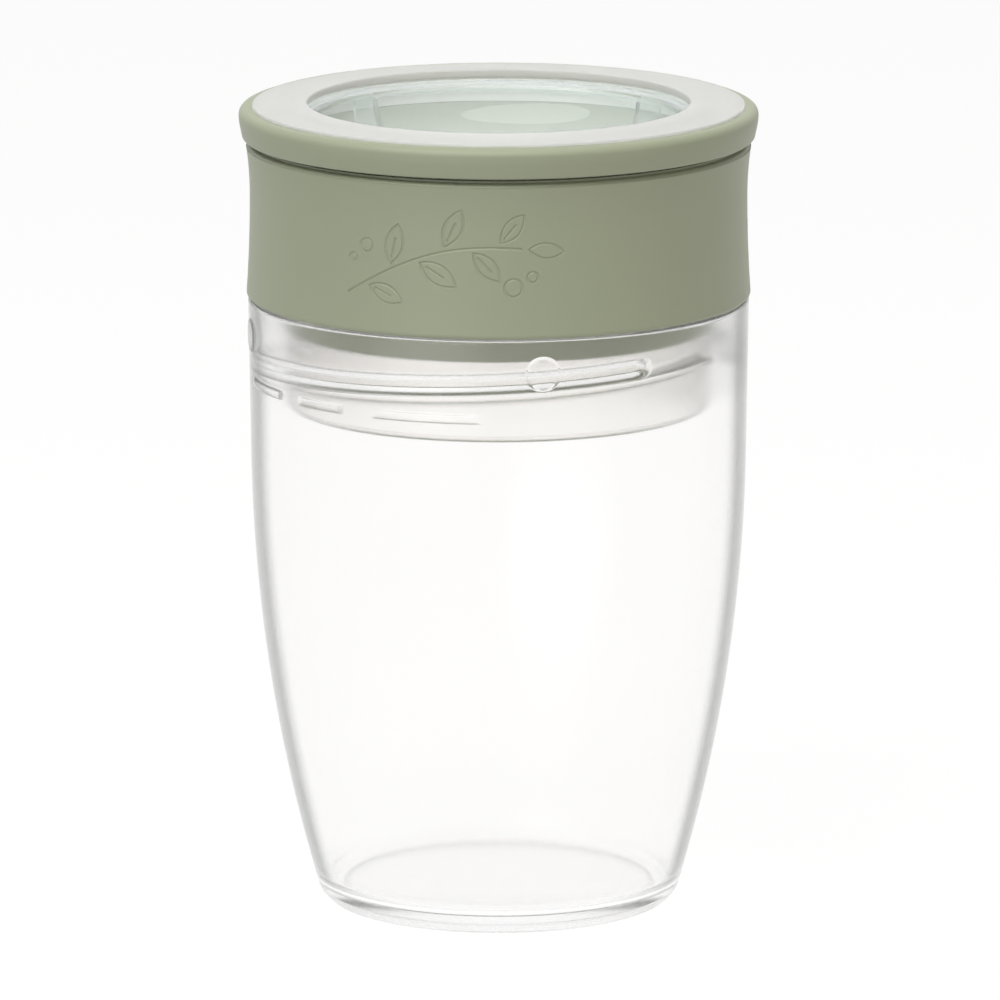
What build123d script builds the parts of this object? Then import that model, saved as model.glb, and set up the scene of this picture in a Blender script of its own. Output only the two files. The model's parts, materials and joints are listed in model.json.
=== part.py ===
from build123d import *
import math
import os

# A toddler's training cup with a screw-on lid that drinks all the way round.
# Millimetres, +Z up, the middle of the foot at the origin, the front towards -Y.
# Angles run anticlockwise from +X, so the front is at -90 degrees.

os.makedirs("parts", exist_ok=True)

# Cup
cup_height = 95.0
mouth_radius = 38.7
cup_wall = 2.0
cup_draft = 0.8
shoulder_drop = 25.0
belly_radius = 255.0
corner_height = 1.6
foot_bevel_width = 1.4
foot_ring_width = 2.6
foot_recess_depth = 0.8
floor_thickness = 2.0
floor_bevel = 1.8
mouth_bevel = 0.5

# Marks on the cup: fill bars and round gate pads
bar_drop = 12.0
bar_width = 1.1
bar_relief = 0.25
bar_spans = [(-167.0, 18.0), (-142.0, 14.0), (-120.0, 26.0)]
pad_drop = 5.1
pad_radius = 2.65
pad_relief = 0.3
pad_count = 4
pad_angle = -80.0

# Quick-turn screw thread, two starts, right-handed
thread_lead = 10.5
thread_starts = 2
rib_root_sink = 0.4
cup_rib_span = 150.0
cup_rib_end_angle = -52.0
cup_rib_front_drop = 6.7
cup_rib_depth = 2.2
cup_rib_root = 3.5
cup_rib_crest = 1.7
sleeve_rib_span = 130.0
sleeve_rib_end_angle = -23.0
sleeve_rib_drop = 2.5
sleeve_rib_depth = 2.5
sleeve_rib_root = 2.3
sleeve_rib_crest = 1.3

# Gasket between the lid and the cup's mouth
gasket_thickness = 1.6
gasket_width = 4.6
gasket_clearance = 0.2

# Collar
collar_gap = 0.3
collar_height = 23.8
collar_flare = 0.25
collar_waist_draw = 0.6
collar_waist_height = 15.8
collar_lip = 0.85
collar_wall = 1.9
collar_edge_bevel = 0.5
seat_step = 0.3
seat_width = 2.9
bore_inset = 3.95
bore_wall = 1.6
core_roof = 7.8
plug_gap = 3.7
plug_wall = 1.8
plug_depth = 4.2

# Threaded sleeve under the collar
sleeve_set_back = 0.2
sleeve_wall = 1.6
sleeve_length = 12.5
sleeve_edge_bevel = 0.9
neck_length = 5.6
neck_clearance = 0.1
neck_wall = 1.3

# Drinking rim and its seal
rim_overhang = 1.05
rim_flare = 0.55
rim_height = 4.7
rim_wall = 2.1
rim_edge_round = 0.9
rim_shoulder_drop = 1.2
rim_foot_bevel = 0.25
seal_flange = 0.5
seal_flange_reach = 0.25
seal_leg_width = 1.2
seal_leg_height = 2.3
rim_seal_clearance = 0.1
lug_count = 10
lug_angle = 15.7
lug_width = 5.3
lug_height = 1.8
lug_overhang = 0.3

# Drinking valve, a soft ring that lies in the rim
valve_clearance = 0.3
valve_width = 8.15
valve_thickness = 1.0
valve_proud = 0.45
valve_crown = 0.3
valve_travel = 0.4
valve_edge_bevel = 0.3
valve_skirt_width = 1.0
valve_skirt_depth = 1.2

# Clear dish in the middle
dish_wall = 1.2
dish_depth = 11.4
dish_taper = 12.0
dish_bevel = 3.6
dish_flange_width = 2.4
dish_flange_thickness = 1.0
dish_flange_clearance = 0.3
fin_count = 4
fin_angle = 41.5
fin_thickness = 1.0
fin_clearance = 0.3
fin_top_drop = 0.8

# Heights down from the cup's mouth
shoulder_height = cup_height - shoulder_drop
bar_height = cup_height - bar_drop
pad_height = cup_height - pad_drop
cup_rib_front_height = cup_height - cup_rib_front_drop

# Heights up the stack, each from the piece below it
gasket_top = cup_height + gasket_thickness
collar_bottom = cup_height + collar_gap
collar_top = collar_bottom + collar_height
seat_height = collar_top + seat_step
plug_bottom = cup_height - plug_depth
sleeve_bottom = plug_bottom - sleeve_length
rim_bottom = seat_height + seal_flange
rim_top = rim_bottom + rim_height
valve_top = rim_top + valve_proud
valve_under = valve_top - valve_thickness
dish_top = valve_under - valve_travel
dish_floor = valve_top - dish_depth

# Radii outwards and inwards from the cup's mouth, each from its neighbour
collar_foot_radius = mouth_radius + collar_flare
collar_waist_radius = collar_foot_radius - collar_waist_draw
bore_top_radius = collar_foot_radius - bore_inset
plug_radius = mouth_radius - cup_wall - plug_gap
sleeve_radius = plug_radius - sleeve_set_back
rim_radius = collar_foot_radius + rim_overhang
rim_foot_radius = rim_radius - rim_flare
rim_inner_radius = rim_radius - rim_wall
valve_radius = rim_inner_radius - valve_clearance
valve_opening_radius = valve_radius - valve_width
seal_inner_radius = bore_top_radius
seal_leg_radius = seal_inner_radius + seal_leg_width
seal_radius = collar_foot_radius + seal_flange_reach
ring_bore_radius = seal_leg_radius + rim_seal_clearance
plug_bore = plug_radius - plug_wall
gasket_inner_radius = plug_radius + gasket_clearance
gasket_radius = gasket_inner_radius + gasket_width
dish_flange_radius = valve_opening_radius + dish_flange_width


def cup_radius(height, inset=0.0):
    """Radius of the cup's wall at a height, on a face that lies inset from the outside."""
    lean = math.radians(cup_draft)
    shoulder_radius = mouth_radius - (cup_height - shoulder_height) * math.tan(lean)
    if height > shoulder_height + inset * math.sin(lean):
        return shoulder_radius + (height - shoulder_height) * math.tan(lean) - inset / math.cos(lean)
    centre_radius = shoulder_radius - belly_radius * math.cos(lean)
    centre_height = shoulder_height + belly_radius * math.sin(lean)
    return centre_radius + math.sqrt((belly_radius - inset) ** 2 - (height - centre_height) ** 2)


def cup_wall_line(start_height, inset):
    """The wall's line from a height near the floor up to the mouth, in the radial plane."""
    middle_height = (start_height + shoulder_height) / 2
    start = (cup_radius(start_height, inset), start_height)
    middle = (cup_radius(middle_height, inset), middle_height)
    shoulder = (cup_radius(shoulder_height, inset), shoulder_height)
    ThreePointArc(start, middle, shoulder)
    Line(shoulder, (cup_radius(cup_height, inset), cup_height))


def bore_radius(height):
    """Radius of the collar's tapered bore, from the plug up to the seat."""
    plug_top = gasket_top
    share = (height - plug_top) / (seat_height - plug_top)
    return plug_bore + (bore_top_radius - plug_bore) * share


def thread_rib(root_radius, crest_radius, root_width, crest_width, span):
    """One helical rib that starts on +X at height zero."""
    sink = math.copysign(rib_root_sink, root_radius - crest_radius)
    foot = root_radius + sink
    with BuildPart() as rib:
        with BuildLine():
            Helix(pitch=thread_lead, height=thread_lead * span / 360, radius=foot)
        with BuildSketch(Plane.XZ):
            with BuildLine():
                Polyline(
                    (foot, -root_width / 2),
                    (root_radius, -root_width / 2),
                    (crest_radius, -crest_width / 2),
                    (crest_radius, crest_width / 2),
                    (root_radius, root_width / 2),
                    (foot, root_width / 2),
                    close=True,
                )
            make_face()
        sweep(is_frenet=True)
    return rib.part


# Cup rib: its height where it crosses the front fixes both starts
front_angle = -90.0
cup_rib_start_angle = cup_rib_end_angle - cup_rib_span
cup_rib_start_height = cup_rib_front_height + thread_lead * (cup_rib_start_angle - front_angle) / 360
sleeve_rib_start_angle = sleeve_rib_end_angle - sleeve_rib_span
sleeve_rib_start_height = (
    cup_rib_front_height - sleeve_rib_drop + thread_lead * (sleeve_rib_start_angle - front_angle) / 360
)

cup_rib_root_radius = cup_radius(cup_rib_front_height, cup_wall)
cup_rib = thread_rib(
    cup_rib_root_radius, cup_rib_root_radius - cup_rib_depth, cup_rib_root, cup_rib_crest, cup_rib_span
)


def fill_bar(span):
    """A raised bar on the cup's wall that starts on +X."""
    wall = cup_radius(bar_height)
    with BuildPart() as bar:
        with BuildSketch(Plane.XZ):
            with Locations((wall, bar_height)):
                Rectangle(2 * bar_relief, bar_width)
        revolve(axis=Axis.Z, revolution_arc=span)
    return bar.part


corner_radius = cup_radius(corner_height)
foot_radius = corner_radius - foot_bevel_width
foot_recess_radius = foot_radius - foot_ring_width

# Cup, a drafted wall on a bellied base
with BuildPart() as cup:
    with BuildSketch(Plane.XZ):
        with BuildLine():
            cup_wall_line(corner_height, 0)
            Polyline(
                (corner_radius, corner_height),
                (foot_radius, 0),
                (0, 0),
                (0, cup_height),
                (mouth_radius, cup_height),
            )
        make_face()
    revolve(axis=Axis.Z)
    with BuildSketch(Plane.XZ) as inside:
        cavity_floor = foot_recess_depth + floor_thickness
        floor_edge = cup_radius(cavity_floor, cup_wall)
        with BuildLine():
            cup_wall_line(cavity_floor, cup_wall)
            Polyline(
                (floor_edge, cavity_floor),
                (0, cavity_floor),
                (0, cup_height),
                (cup_radius(cup_height, cup_wall), cup_height),
            )
        make_face()
        floor_corners = inside.vertices().group_by(Axis.Y)[0]
        chamfer(floor_corners.sort_by(Axis.X)[-1], floor_bevel)
    revolve(axis=Axis.Z, mode=Mode.SUBTRACT)
    with BuildSketch():
        Circle(foot_recess_radius)
    extrude(amount=foot_recess_depth, mode=Mode.SUBTRACT)
    mouth_edges = cup.edges().filter_by(GeomType.CIRCLE).group_by(Axis.Z)[-1]
    chamfer(mouth_edges, mouth_bevel)
    with Locations((0, 0, cup_rib_start_height)):
        with PolarLocations(0, thread_starts, start_angle=cup_rib_start_angle):
            add(cup_rib)
    for bar_angle, bar_span in bar_spans:
        with Locations(Rotation(0, 0, bar_angle)):
            add(fill_bar(bar_span))
    with Locations((0, 0, pad_height)):
        with PolarLocations(cup_radius(pad_height) + pad_relief, pad_count, start_angle=pad_angle):
            Cylinder(
                pad_radius,
                pad_relief + cup_wall / 2,
                rotation=(0, 90, 0),
                align=(Align.CENTER, Align.CENTER, Align.MAX),
            )

# Gasket, a soft flat ring on the cup's mouth
with BuildPart() as cup_seal:
    with BuildSketch(Plane.XY.offset(cup_height)):
        Circle(gasket_radius)
        Circle(gasket_inner_radius, mode=Mode.SUBTRACT)
    extrude(amount=gasket_thickness)

# Collar, an outer wall with a drawn-in waist round a tapered bore and a plug
with BuildPart() as collar:
    waist_height = collar_bottom + collar_waist_height
    seat_edge = bore_top_radius + seat_width
    lip_inner_radius = collar_foot_radius - collar_lip
    core_outer_radius = collar_waist_radius - collar_wall
    core_top = seat_height - core_roof
    with BuildSketch(Plane.XZ):
        with BuildLine():
            waist = (collar_waist_radius, waist_height)
            TangentArc(waist, (collar_foot_radius, collar_bottom), tangent=(0, -1))
            TangentArc(waist, (collar_foot_radius, collar_top), tangent=(0, 1))
            Polyline(
                (collar_foot_radius, collar_top),
                (seat_edge, collar_top),
                (seat_edge, seat_height),
                (bore_top_radius, seat_height),
                (plug_bore, gasket_top),
                (plug_bore, plug_bottom),
                (plug_radius, plug_bottom),
                (plug_radius, gasket_top),
                (plug_radius + bore_wall, gasket_top),
                (bore_radius(core_top) + bore_wall, core_top),
                (core_outer_radius, core_top),
                (core_outer_radius, gasket_top),
                (lip_inner_radius, gasket_top),
                (lip_inner_radius, collar_bottom),
                (collar_foot_radius, collar_bottom),
            )
        make_face()
    revolve(axis=Axis.Z)
    collar_circles = collar.edges().filter_by(GeomType.CIRCLE)
    outer_circles = collar_circles.filter_by(lambda edge: abs(edge.radius - collar_foot_radius) < 0.01)
    chamfer(outer_circles, collar_edge_bevel)

# Threaded sleeve, a skirt with two outside ribs and a neck inside the plug
sleeve_rib = thread_rib(
    sleeve_radius, sleeve_radius + sleeve_rib_depth, sleeve_rib_root, sleeve_rib_crest, sleeve_rib_span
)
with BuildPart() as threaded_sleeve:
    neck_radius = plug_bore - neck_clearance
    neck_inner_radius = neck_radius - neck_wall
    neck_top = plug_bottom + neck_length
    sleeve_bore = sleeve_radius - sleeve_wall
    with BuildSketch(Plane.XZ) as section:
        with BuildLine():
            Polyline(
                (sleeve_bore, sleeve_bottom),
                (sleeve_radius, sleeve_bottom),
                (sleeve_radius, plug_bottom),
                (neck_radius, plug_bottom),
                (neck_radius, neck_top),
                (neck_inner_radius, neck_top),
                (neck_inner_radius, plug_bottom - sleeve_wall),
                (sleeve_bore, plug_bottom - 2 * sleeve_wall),
                close=True,
            )
        make_face()
        bottom_corners = section.vertices().group_by(Axis.Y)[0]
        chamfer(bottom_corners.sort_by(Axis.X)[-1], sleeve_edge_bevel)
    revolve(axis=Axis.Z)
    with Locations((0, 0, sleeve_rib_start_height)):
        with PolarLocations(0, thread_starts, start_angle=sleeve_rib_start_angle):
            add(sleeve_rib)

# Rim seal, an angle ring between the collar's seat and the drinking rim
lug_bottom = seat_height + seal_leg_height
with BuildPart() as rim_seal:
    with BuildSketch(Plane.XZ):
        with BuildLine():
            Polyline(
                (seal_inner_radius, seat_height),
                (seal_radius, seat_height),
                (seal_radius, rim_bottom),
                (seal_leg_radius, rim_bottom),
                (seal_leg_radius, lug_bottom),
                (seal_inner_radius, lug_bottom),
                close=True,
            )
        make_face()
    revolve(axis=Axis.Z)

# Drinking rim, with lugs that hold the seal down and leave flow gaps between them
with BuildPart() as rim_ring:
    with BuildSketch(Plane.XZ) as section:
        with BuildLine():
            Polyline(
                (rim_foot_radius, rim_bottom),
                (rim_radius, rim_top - rim_shoulder_drop),
                (rim_radius, rim_top),
                (rim_inner_radius, rim_top),
                (rim_inner_radius, lug_bottom),
                (ring_bore_radius, lug_bottom),
                (ring_bore_radius, rim_bottom),
                close=True,
            )
        make_face()
        top_corners = section.vertices().group_by(Axis.Y)[-1]
        fillet(top_corners.sort_by(Axis.X)[-1], rim_edge_round)
        foot_corners = section.vertices().group_by(Axis.Y)[0]
        chamfer(foot_corners.sort_by(Axis.X)[-1], rim_foot_bevel)
    revolve(axis=Axis.Z)
    lug_inner_radius = seal_inner_radius + lug_overhang
    lug_depth = (rim_inner_radius + rim_radius) / 2 - lug_inner_radius
    with Locations((0, 0, lug_bottom)):
        with PolarLocations(lug_inner_radius, lug_count, start_angle=lug_angle):
            Box(lug_depth, lug_width, lug_height, align=(Align.MIN, Align.CENTER, Align.MIN))

# Drinking valve, a soft ring with a skirt that goes round the dish's flange
with BuildPart() as drinking_valve:
    skirt_inner_radius = dish_flange_radius + dish_flange_clearance
    skirt_radius = skirt_inner_radius + valve_skirt_width
    skirt_bottom = valve_under - valve_skirt_depth
    with BuildSketch(Plane.XZ) as section:
        with BuildLine():
            Polyline(
                (valve_opening_radius, valve_under),
                (skirt_inner_radius, valve_under),
                (skirt_inner_radius, skirt_bottom),
                (skirt_radius, skirt_bottom),
                (skirt_radius, valve_under),
                (valve_radius, valve_under),
                (valve_radius, valve_top),
                (valve_opening_radius, valve_top + valve_crown),
                close=True,
            )
        make_face()
        edge_corners = section.vertices().filter_by_position(Axis.Y, valve_top, valve_top + valve_crown)
        chamfer(edge_corners, valve_edge_bevel)
    revolve(axis=Axis.Z)

# One guide fin of the dish, whose edge follows the collar's bore
fin_top = dish_top - dish_flange_thickness - fin_top_drop
fin_root_radius = valve_opening_radius - (dish_top - dish_floor) * math.tan(math.radians(dish_taper))
with BuildPart() as dish_fin:
    with BuildSketch(Plane.XZ):
        with BuildLine():
            Polyline(
                (fin_root_radius, dish_floor),
                (bore_radius(dish_floor) - fin_clearance, dish_floor),
                (bore_top_radius - fin_clearance, seat_height),
                (bore_top_radius - fin_clearance, fin_top),
                (fin_root_radius, fin_top),
                close=True,
            )
        make_face()
    extrude(amount=fin_thickness / 2, both=True)

# Clear dish, a tapered bowl with a flange under the valve and guide fins
with BuildPart() as clear_dish:
    inner_floor_radius = fin_root_radius
    with BuildSketch(Plane.XZ) as outside:
        with BuildLine():
            Polyline(
                (0, dish_floor - dish_wall),
                (inner_floor_radius + dish_wall, dish_floor - dish_wall),
                (valve_opening_radius + dish_wall, dish_top - dish_flange_thickness),
                (dish_flange_radius, dish_top - dish_flange_thickness),
                (dish_flange_radius, dish_top),
                (0, dish_top),
                close=True,
            )
        make_face()
        corner = outside.vertices().group_by(Axis.Y)[0].sort_by(Axis.X)[-1]
        chamfer(corner, dish_bevel)
    revolve(axis=Axis.Z)
    with PolarLocations(0, fin_count, start_angle=fin_angle):
        add(dish_fin.part)
    with BuildSketch(Plane.XZ) as inside:
        with BuildLine():
            Polyline(
                (0, dish_floor),
                (inner_floor_radius, dish_floor),
                (valve_opening_radius, dish_top),
                (0, dish_top),
                close=True,
            )
        make_face()
        corner = inside.vertices().group_by(Axis.Y)[0].sort_by(Axis.X)[-1]
        chamfer(corner, dish_bevel)
    revolve(axis=Axis.Z, mode=Mode.SUBTRACT)

pieces = {
    "cup": cup,
    "cup_seal": cup_seal,
    "collar": collar,
    "threaded_sleeve": threaded_sleeve,
    "rim_seal": rim_seal,
    "rim_ring": rim_ring,
    "drinking_valve": drinking_valve,
    "clear_dish": clear_dish,
}
for name, piece in pieces.items():
    piece.part.label = name
    export_step(piece.part, f"parts/{name}.step")
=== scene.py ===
import json
import math

import bmesh
import bpy
from bpy.props import FloatProperty, FloatVectorProperty, IntProperty, PointerProperty
from bpy.types import Operator, Panel, PropertyGroup
from mathutils import Matrix, Vector

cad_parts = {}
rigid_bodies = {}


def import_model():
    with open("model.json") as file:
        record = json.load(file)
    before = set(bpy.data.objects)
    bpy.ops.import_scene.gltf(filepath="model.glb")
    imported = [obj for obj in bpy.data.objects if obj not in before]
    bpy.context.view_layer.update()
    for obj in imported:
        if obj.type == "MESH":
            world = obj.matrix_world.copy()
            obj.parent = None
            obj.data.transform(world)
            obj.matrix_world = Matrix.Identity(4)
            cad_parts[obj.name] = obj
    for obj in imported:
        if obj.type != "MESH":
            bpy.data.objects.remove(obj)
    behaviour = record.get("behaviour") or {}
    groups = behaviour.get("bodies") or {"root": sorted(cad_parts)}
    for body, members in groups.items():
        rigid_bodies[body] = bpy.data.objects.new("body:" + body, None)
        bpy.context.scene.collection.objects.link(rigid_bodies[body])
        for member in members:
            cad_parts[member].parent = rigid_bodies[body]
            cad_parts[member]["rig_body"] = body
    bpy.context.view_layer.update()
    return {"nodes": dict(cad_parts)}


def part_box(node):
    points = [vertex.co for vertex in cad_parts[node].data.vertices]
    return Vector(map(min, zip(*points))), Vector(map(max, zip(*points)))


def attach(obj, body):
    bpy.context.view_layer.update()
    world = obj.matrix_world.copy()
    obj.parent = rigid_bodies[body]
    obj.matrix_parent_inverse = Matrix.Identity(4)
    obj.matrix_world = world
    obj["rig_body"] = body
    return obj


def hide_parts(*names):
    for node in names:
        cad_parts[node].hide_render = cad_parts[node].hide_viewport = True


# A toddler's training cup with a screw-on lid that drinks all the way round.
# Metres, +Z up, the middle of the foot at the origin, the front towards -Y.
# Angles run anticlockwise from +X, so the front is at -90 degrees.

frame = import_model()
NODE_BOXES = {name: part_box(name) for name in frame["nodes"]}

bl_info = {
    "name": "Training cup",
    "version": (1, 0, 0),
    "blender": (4, 5, 0),
    "location": "View3D > Sidebar > Training cup",
    "description": "Builds a clear training cup with a green drinking lid around its packed frame",
    "category": "Add Mesh",
}

MM = 0.001
TURN = 2 * math.pi
FRONT = math.radians(-90)


def low(node):
    """Lowest height of a frame node."""
    return NODE_BOXES[node][0].z


def high(node):
    """Highest height of a frame node."""
    return NODE_BOXES[node][1].z


def reach(node):
    """Largest radius of a round frame node."""
    return NODE_BOXES[node][1].x


def length(name, description, millimetres):
    """A size property whose default is given in millimetres."""
    default = millimetres * MM
    return FloatProperty(
        name=name, description=description, default=default, unit="LENGTH", subtype="DISTANCE", precision=5
    )


def angle(name, description, degrees):
    """An angle property whose default is given in degrees."""
    return FloatProperty(
        name=name, description=description, default=math.radians(degrees), unit="ROTATION", subtype="ANGLE"
    )


def number_of(name, description, count):
    """A property that says how many there are."""
    return IntProperty(name=name, description=description, default=count)


def colour(name, description, value):
    """A colour property with a linear default."""
    return FloatVectorProperty(
        name=name, description=description, default=value, subtype="COLOR", size=3, min=0.0, max=1.0
    )


class CupSizes(PropertyGroup):
    """Sizes of the clear cup and its marks."""

    wall: length("Wall", "Thickness of the cup's wall", 2.0)
    mouth_radius: length("Mouth radius", "Outer radius at the mouth", 38.7)
    draft: angle("Draft", "Lean of the straight upper wall", 0.8)
    shoulder_height: length("Shoulder height", "Where the straight wall meets the belly", 70.0)
    belly_radius: length("Belly radius", "Radius of the belly's long arc", 255.0)
    corner_height: length("Corner height", "Where the belly meets the foot", 1.6)
    foot_radius: length("Foot radius", "Outer radius of the foot ring", 26.63)
    recess_radius: length("Recess radius", "Radius of the hollow under the foot", 24.03)
    recess_depth: length("Recess depth", "Depth of the hollow under the foot", 0.8)
    floor: length("Floor", "Thickness of the cup's floor", 2.0)
    floor_round: length("Floor round", "Inside round between floor and wall", 3.0)
    bar_height: length("Bar height", "Height of the fill bars", 83.0)
    bar_width: length("Bar width", "Height of one raised fill bar", 1.45)
    bar_relief: length("Bar relief", "How far a fill bar stands out", 0.25)
    pad_height: length("Pad height", "Height of the round gate pads", 89.9)
    pad_radius: length("Pad radius", "Radius of a round gate pad", 2.65)
    pad_relief: length("Pad relief", "How far a gate pad stands out", 0.3)


class ThreadSizes(PropertyGroup):
    """Sizes of the two-start quick-turn thread."""

    lead: length("Lead", "Rise of the thread in one turn", 10.5)
    starts: number_of("Starts", "Number of ribs on each side", 2)
    front_height: length("Front height", "Height of the cup's rib at the front", 88.3)
    cup_span: angle("Cup rib span", "Angle covered by one rib of the cup", 134.0)
    cup_end: angle("Cup rib end", "Where the cup's front rib ends", -52.0)
    cup_depth: length("Cup rib depth", "How far the cup's rib stands in", 2.2)
    cup_root: length("Cup rib root", "Width of the cup's rib at its root", 3.5)
    cup_crest: length("Cup rib crest", "Width of the cup's rib at its crest", 1.0)
    sleeve_span: angle("Sleeve rib span", "Angle covered by one rib of the sleeve", 130.0)
    sleeve_end: angle("Sleeve rib end", "Where the sleeve's front rib ends", -23.0)
    sleeve_drop: length("Sleeve rib drop", "Distance of the sleeve's rib below the cup's", 2.5)
    sleeve_depth: length("Sleeve rib depth", "How far the sleeve's rib stands out", 2.5)
    sleeve_root: length("Sleeve rib root", "Width of the sleeve's rib at its root", 2.3)
    sleeve_crest: length("Sleeve rib crest", "Width of the sleeve's rib at its crest", 0.8)


class LidSizes(PropertyGroup):
    """Sizes of the collar and what is fixed to it."""

    foot_radius: length("Collar radius", "Radius of the collar at its foot and top", 38.95)
    waist_radius: length("Waist radius", "Radius of the collar's waist", 38.35)
    waist_height: length("Waist height", "Height of the waist above the collar's foot", 15.8)
    collar_height: length("Collar height", "Height of the collar's outer wall", 23.8)
    edge_round: length("Edge round", "Round of the collar's lower edge", 0.6)
    top_round: length("Top round", "Round of the collar's upper edge", 1.0)
    lip: length("Lip", "Thickness of the lip round the cup's mouth", 0.85)
    wall: length("Wall", "Thickness of the collar's outer wall", 1.9)
    seat_width: length("Seat width", "Width of the seat under the rim seal", 2.9)
    seat_radius: length("Seat radius", "Radius of the bore at the seat", 35.0)
    bore_wall: length("Bore wall", "Thickness of the wall round the bore", 1.6)
    core_depth: length("Core depth", "Depth of the hollow between the two walls", 15.0)
    plug_radius: length("Plug radius", "Radius of the plug that enters the cup", 33.0)
    plug_wall: length("Plug wall", "Thickness of the plug", 1.8)
    sleeve_radius: length("Sleeve radius", "Radius of the threaded sleeve", 32.8)
    sleeve_wall: length("Sleeve wall", "Thickness of the threaded sleeve", 1.6)
    sleeve_round: length("Sleeve round", "Round of the sleeve's lower edge", 1.1)
    neck_clearance: length("Neck clearance", "Gap between the plug and the sleeve's neck", 0.1)
    neck_wall: length("Neck wall", "Thickness of the sleeve's neck", 1.3)
    groove_radius: length("Groove radius", "Radius of the tool that cuts a fine line", 0.30)
    groove_depth: length("Groove depth", "Depth of the engraved lines", 0.15)
    sprig_count: number_of("Sprigs", "Number of engraved sprigs round the collar", 3)
    sprig_angle: angle("Sprig angle", "Where the middle of the front sprig stands", -103.0)
    sprig_height: length("Sprig height", "Height of the middle of a sprig", 106.4)


class TopSizes(PropertyGroup):
    """Sizes of the rim, its seal, the valve and the dish."""

    rim_foot_radius: length("Rim foot radius", "Radius of the rim at its foot", 39.45)
    rim_wall: length("Rim wall", "Thickness of the rim's upper wall", 2.1)
    rim_round: length("Rim round", "Round of the rim's top edge", 1.2)
    shoulder_drop: length("Shoulder drop", "Where the rim reaches its full radius", 2.0)
    seal_flange: length("Seal flange", "Thickness of the seal's flange", 0.5)
    seal_leg: length("Seal leg", "Width of the seal's upright leg", 1.2)
    seal_lip: length("Seal lip", "Thickness of the thin lip that shows under the rim", 0.16)
    seal_lip_width: length("Seal lip width", "Width of the thin lip", 1.4)
    lug_count: number_of("Lugs", "Number of lugs inside the rim", 10)
    lug_angle: angle("Lug angle", "Where the first lug stands", 15.7)
    lug_width: length("Lug width", "Width of one lug", 5.3)
    lug_height: length("Lug height", "Height of one lug", 1.8)
    opening_radius: length("Opening radius", "Radius of the opening in the valve", 29.45)
    valve_thickness: length("Valve thickness", "Thickness of the soft ring", 1.0)
    valve_crown: length("Valve crown", "Rise of the soft ring to its inner edge", 0.29)
    valve_round: length("Valve round", "Round of the soft ring's edges", 0.28)
    skirt_width: length("Skirt width", "Thickness of the valve's skirt", 1.0)
    skirt_depth: length("Skirt depth", "Depth of the valve's skirt", 1.2)
    dish_wall: length("Dish wall", "Thickness of the dish", 1.2)
    bowl_radius: length("Bowl radius", "Radius of the dish's hollow in section", 8.8)
    dish_flare: length("Dish flare", "Round where the dish meets its flange", 1.5)
    dish_lip: length("Dish lip", "How far the dish's rounded lip shows inside the valve", 1.0)
    pressed_gap: length("Pressed gap", "Room left over the dish when the valve is pressed down", 0.05)
    flange_width: length("Flange width", "Width of the dish's flange", 2.4)
    flange_thickness: length("Flange thickness", "Thickness of the dish's flange", 1.0)
    fin_count: number_of("Fins", "Number of guide fins on the dish", 4)
    fin_angle: angle("Fin angle", "Where the first fin stands", 41.5)
    fin_thickness: length("Fin thickness", "Thickness of one fin", 1.0)
    fin_clearance: length("Fin clearance", "Gap between a fin and the bore", 0.3)
    fin_drop: length("Fin drop", "Distance of the fins below the flange", 0.8)


class CupColours(PropertyGroup):
    """Colours of the finishes."""

    green: colour("Green plastic", "Colour of the collar and the rim", (0.293, 0.316, 0.223))
    clear: colour("Clear plastic", "Tint of the cup", (1.0, 0.997, 0.992))
    # Painted shade: this dark colour is mixed into the cup where the eye looks along its wall
    painted_edge_colour: colour("Clear edge", "Tint of the cup's wall seen along its length", (0.215, 0.228, 0.2))
    dish: colour("Dish", "Tint of the clear dish", (0.912, 0.953, 0.948))
    frosted: colour("Frosted plastic", "Tint of the threaded sleeve", (1.0, 0.985, 0.967))
    silicone: colour("Silicone", "Colour of the two seals", (0.9, 0.9, 0.87))
    soft: colour("Frosted silicone", "Colour of the drinking valve", (0.76, 0.757, 0.742))


# Mesh helpers

COLUMNS = 480
COLUMN_ANGLE = TURN / COLUMNS
SPIN_DOUBLINGS = 4
SPIN_START = math.radians(-80)
SAME_PLACE = 0.0002 * MM
ON_CIRCLE = 0.01 * MM


def steps_between(start, end, step):
    """Evenly spaced values from start up to but not including end."""
    count = max(1, round(abs(end - start) / step))
    return [start + (end - start) * index / count for index in range(count)]


def smooth(value):
    """Eased share between 0 and 1."""
    share = min(1.0, max(0.0, value))
    return share * share * (3 - 2 * share)


def quarter_arc(centre, radius, count):
    """Points in the radial plane from below a centre up to its height, both ends included."""
    turns = [math.radians(90 * index / count - 90) for index in range(count + 1)]
    return [(centre[0] + radius * math.cos(turn), centre[1] + radius * math.sin(turn)) for turn in turns]


def verts_in(made):
    """The vertices in what an operator made."""
    return [item for item in made["geom"] if isinstance(item, bmesh.types.BMVert)]


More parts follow.
